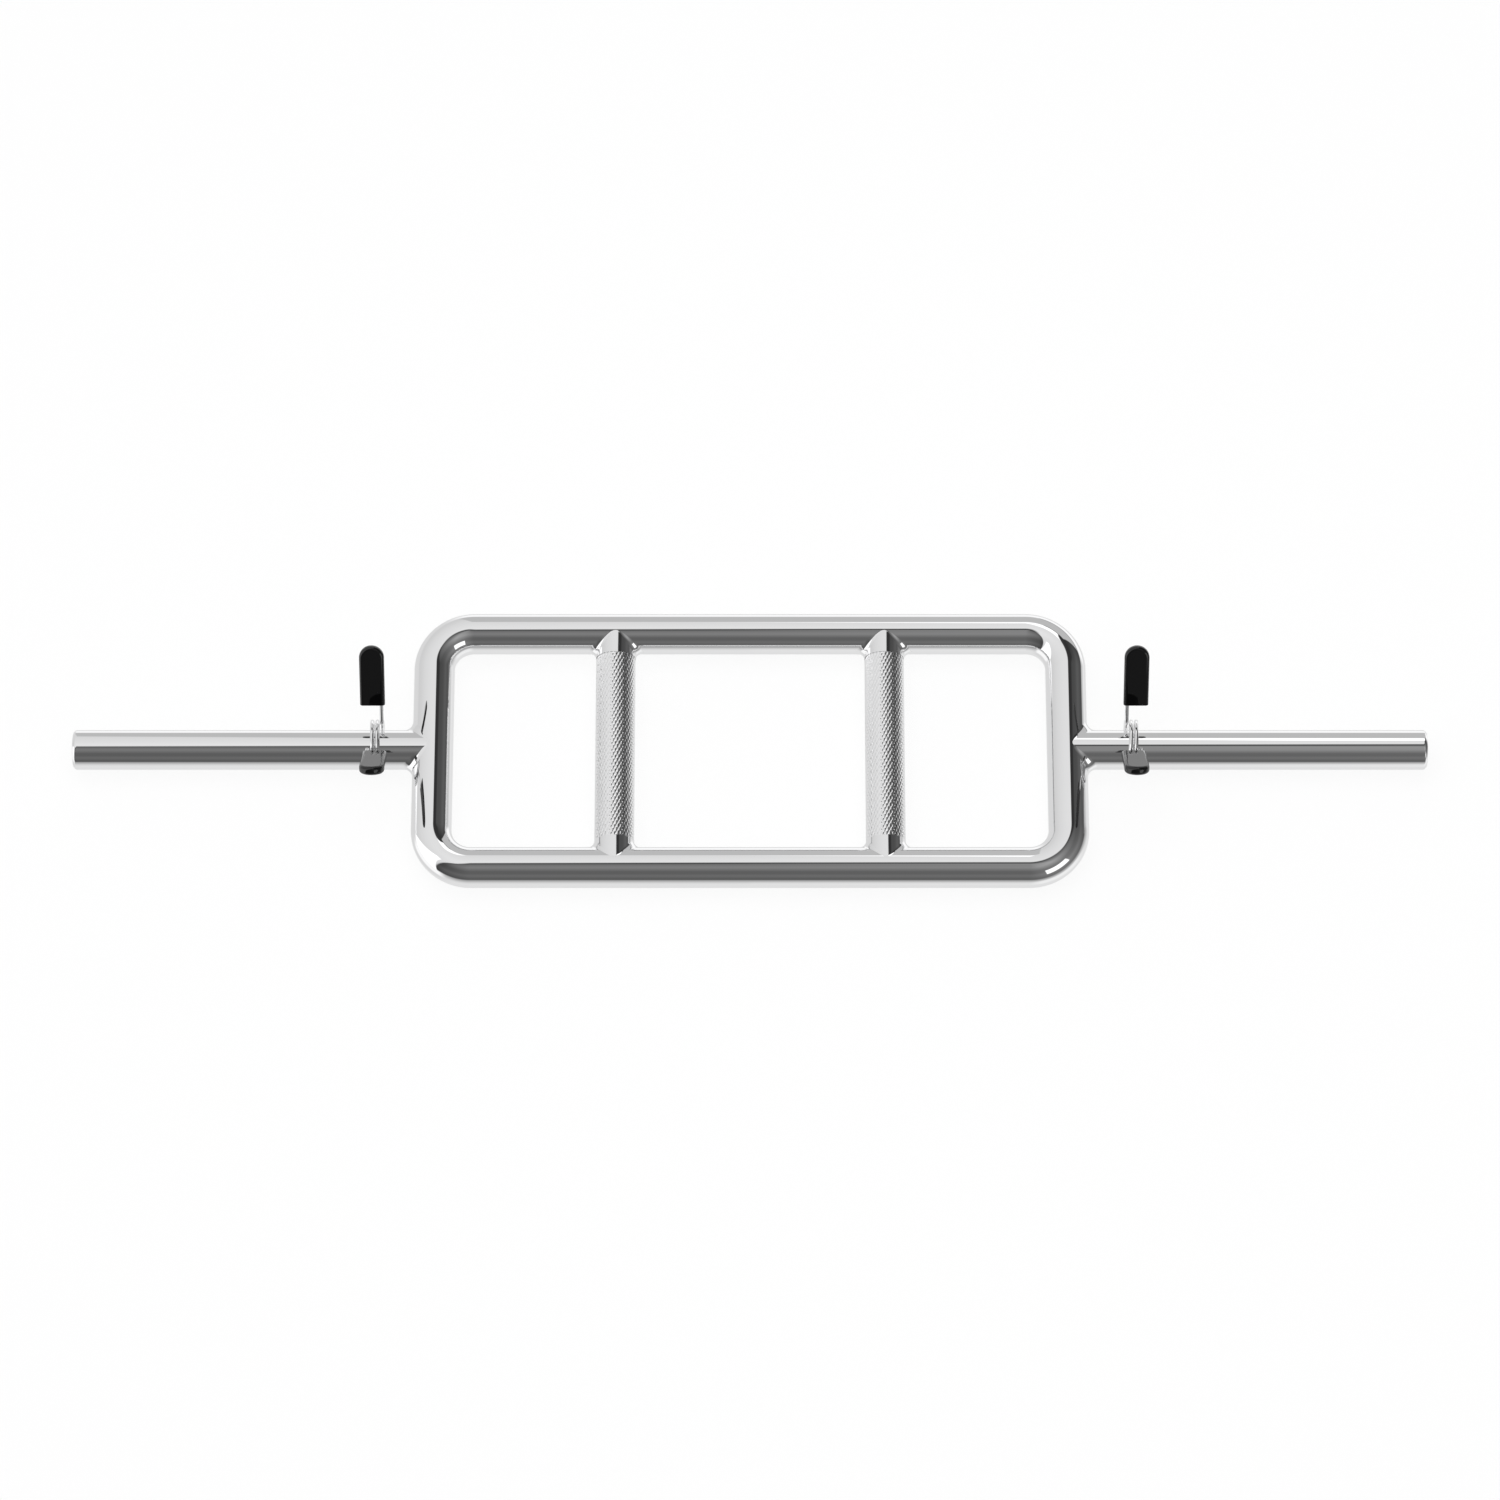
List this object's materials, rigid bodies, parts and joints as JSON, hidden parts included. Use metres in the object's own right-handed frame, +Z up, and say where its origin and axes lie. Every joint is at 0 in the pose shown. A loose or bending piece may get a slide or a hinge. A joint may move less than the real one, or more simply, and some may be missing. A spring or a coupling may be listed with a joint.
{
  "type": "triceps bar",
  "caption": "Straight barbell with a closed rectangular frame at its middle, two knurled cross grips for a parallel hold, and a sprung wire collar with black paddles on each sleeve.",
  "frame": {"origin": "under the middle of the bar, on the surface that the collars' coils stand on as the bar lies flat", "axes": "+X along the bar, +Y across the frame towards the rear rail, +Z up, away from the surface it lies on"},
  "size_m": [0.864, 0.188, 0.0755],
  "materials": {
    "frame_chrome": "polished chrome plate on steel tube",
    "sleeve_chrome": "polished chrome plate on turned steel bar",
    "knurled_chrome": "chrome plate over a diamond knurl",
    "weld_chrome": "dressed weld under chrome plate",
    "spring_chrome": "bright plated spring wire",
    "black_plastic": "smooth glossy black moulding"
  },
  "bodies": {
    "bar": {"frame_rear_tube": "frame_chrome", "frame_front_tube": "frame_chrome", "left_sleeve": "sleeve_chrome", "right_sleeve": "sleeve_chrome", "left_grip": "knurled_chrome", "right_grip": "knurled_chrome", "left_sleeve_weld": "weld_chrome", "right_sleeve_weld": "weld_chrome", "left_grip_rear_weld": "weld_chrome", "left_grip_front_weld": "weld_chrome", "right_grip_rear_weld": "weld_chrome", "right_grip_front_weld": "weld_chrome"},
    "left_coil": {"left_collar_coil": "spring_chrome"},
    "left_outer_handle": {"left_outer_tail": "spring_chrome", "left_outer_paddle": "black_plastic"},
    "left_inner_handle": {"left_inner_tail": "spring_chrome", "left_inner_paddle": "black_plastic"},
    "right_coil": {"right_collar_coil": "spring_chrome"},
    "right_outer_handle": {"right_outer_tail": "spring_chrome", "right_outer_paddle": "black_plastic"},
    "right_inner_handle": {"right_inner_tail": "spring_chrome", "right_inner_paddle": "black_plastic"}
  },
  "joints": [
    {"name": "left_collar_slide", "type": "slide", "parent": "bar", "child": "left_coil", "axis": [-1, 0, 0], "range_m": [-0.01, 0.185]},
    {"name": "left_collar_spin", "type": "hinge", "parent": "left_coil", "child": "left_outer_handle", "pos_m": [-0.239, 0, 0.01705], "axis": [1, 0, 0], "continuous": true, "deforming": ["left_collar_coil"]},
    {"name": "left_collar_squeeze", "type": "hinge", "parent": "left_outer_handle", "child": "left_inner_handle", "pos_m": [-0.239, 0.0021, 0.01705], "axis": [1, 0, 0], "range_deg": [0, 50], "stiffness_Nm_per_rad": 1.5, "deforming": ["left_collar_coil"]},
    {"name": "right_collar_slide", "type": "slide", "parent": "bar", "child": "right_coil", "axis": [1, 0, 0], "range_m": [-0.015, 0.18]},
    {"name": "right_collar_spin", "type": "hinge", "parent": "right_coil", "child": "right_outer_handle", "pos_m": [0.2444, 0, 0.01705], "axis": [1, 0, 0], "continuous": true, "deforming": ["right_collar_coil"]},
    {"name": "right_collar_squeeze", "type": "hinge", "parent": "right_outer_handle", "child": "right_inner_handle", "pos_m": [0.2444, 0.0021, 0.01705], "axis": [1, 0, 0], "range_deg": [0, 50], "stiffness_Nm_per_rad": 1.5, "deforming": ["right_collar_coil"]}
  ]
}
